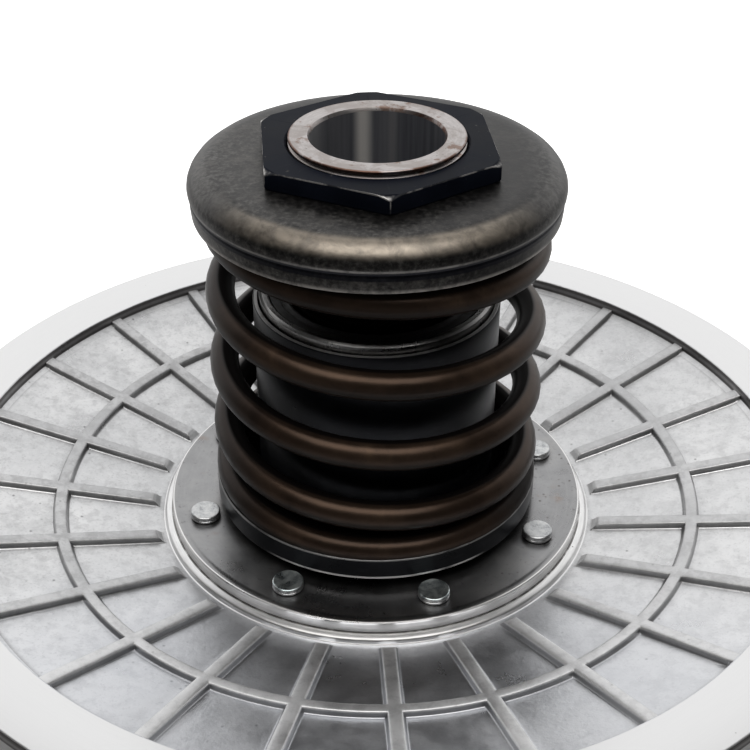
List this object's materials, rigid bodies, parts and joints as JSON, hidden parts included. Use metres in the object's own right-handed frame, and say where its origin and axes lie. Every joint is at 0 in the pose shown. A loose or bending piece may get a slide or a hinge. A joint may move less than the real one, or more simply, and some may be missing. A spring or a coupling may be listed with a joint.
{
  "type": "variator driven pulley",
  "caption": "Ribbed driven variator pulley: fixed and sliding sheaves on a splined hub tube, closed by a coil spring under a pressed cup and hexagon locknut.",
  "frame": {"origin": "centre of the hub's lower end face", "axes": "+Z along the hub axis, from the fixed sheave towards the spring cup and locknut; +X and +Y across the sheaves"},
  "size_m": [0.2152, 0.2152, 0.1255],
  "materials": {
    "cast_aluminium": "die cast, fine mottling, machined rim",
    "hub_steel": "turned steel, light staining",
    "sleeve_steel": "ground steel, fine stains",
    "oxide_steel": "black oxide, satin, worn edges",
    "pressed_steel": "phosphated pressed steel, dark grey",
    "spring_steel": "dark brown coating, semi-gloss",
    "black_steel": "black coating, satin, worn edges",
    "zinc_steel": "zinc plated",
    "bearing_steel": "ground, bright",
    "bearing_bronze": "plain bearing metal, satin",
    "black_rubber": "matt"
  },
  "bodies": {
    "hub": {"fixed_hub": "hub_steel", "fixed_sheave": "cast_aluminium", "hub_rivet_1": "zinc_steel", "hub_rivet_2": "zinc_steel", "hub_rivet_3": "zinc_steel", "hub_rivet_4": "zinc_steel", "hub_rivet_5": "zinc_steel", "hub_rivet_6": "zinc_steel", "hub_rivet_7": "zinc_steel", "hub_rivet_8": "zinc_steel", "guide_pin_1": "bearing_steel", "guide_pin_2": "bearing_steel", "guide_pin_3": "bearing_steel", "guide_pin_4": "bearing_steel", "spring_cup": "pressed_steel", "lock_nut": "oxide_steel", "compression_spring": "spring_steel"},
    "spring_seat": {"seal_collar": "black_steel"},
    "sliding_sheave": {"sliding_sheave": "cast_aluminium", "sliding_sleeve": "sleeve_steel", "sleeve_rivet_1": "zinc_steel", "sleeve_rivet_2": "zinc_steel", "sleeve_rivet_3": "zinc_steel", "sleeve_rivet_4": "zinc_steel", "sleeve_rivet_5": "zinc_steel", "sleeve_rivet_6": "zinc_steel", "sleeve_rivet_7": "zinc_steel", "sleeve_rivet_8": "zinc_steel", "lower_bush": "bearing_bronze", "upper_bush": "bearing_bronze", "lower_oil_seal": "black_rubber", "upper_oil_seal": "black_rubber", "lower_sealing_ring": "black_rubber", "upper_sealing_ring": "black_rubber"},
    "roller_1": {"guide_roller_1": "bearing_steel"},
    "roller_2": {"guide_roller_2": "bearing_steel"},
    "roller_3": {"guide_roller_3": "bearing_steel"},
    "roller_4": {"guide_roller_4": "bearing_steel"}
  },
  "joints": [
    {"name": "sheave_slide", "type": "slide", "parent": "hub", "child": "spring_seat", "axis": [0, 0, 1], "range_m": [0, 0.02], "deforming": ["compression_spring"]},
    {"name": "sheave_turn", "type": "hinge", "parent": "spring_seat", "child": "sliding_sheave", "pos_m": [0, 0, 0], "axis": [0, 0, 1], "range_deg": [0, 40]},
    {"name": "roller_1_spin", "type": "hinge", "parent": "hub", "child": "roller_1", "pos_m": [0.01598, 0.01598, 0.0735], "axis": [0.7071, 0.7071, 0], "range_deg": [0, 341]},
    {"name": "roller_2_spin", "type": "hinge", "parent": "hub", "child": "roller_2", "pos_m": [-0.01598, 0.01598, 0.0735], "axis": [-0.7071, 0.7071, 0], "range_deg": [0, 341]},
    {"name": "roller_3_spin", "type": "hinge", "parent": "hub", "child": "roller_3", "pos_m": [-0.01598, -0.01598, 0.0735], "axis": [-0.7071, -0.7071, 0], "range_deg": [0, 341]},
    {"name": "roller_4_spin", "type": "hinge", "parent": "hub", "child": "roller_4", "pos_m": [0.01598, -0.01598, 0.0735], "axis": [0.7071, -0.7071, 0], "range_deg": [0, 341]}
  ],
  "couplings": [
    {"joint": "sheave_turn", "follows": "sheave_slide", "rad_per_m": 34.9},
    {"joint": "roller_1_spin", "follows": "sheave_slide", "rad_per_m": 297},
    {"joint": "roller_2_spin", "follows": "sheave_slide", "rad_per_m": 297},
    {"joint": "roller_3_spin", "follows": "sheave_slide", "rad_per_m": 297},
    {"joint": "roller_4_spin", "follows": "sheave_slide", "rad_per_m": 297}
  ]
}
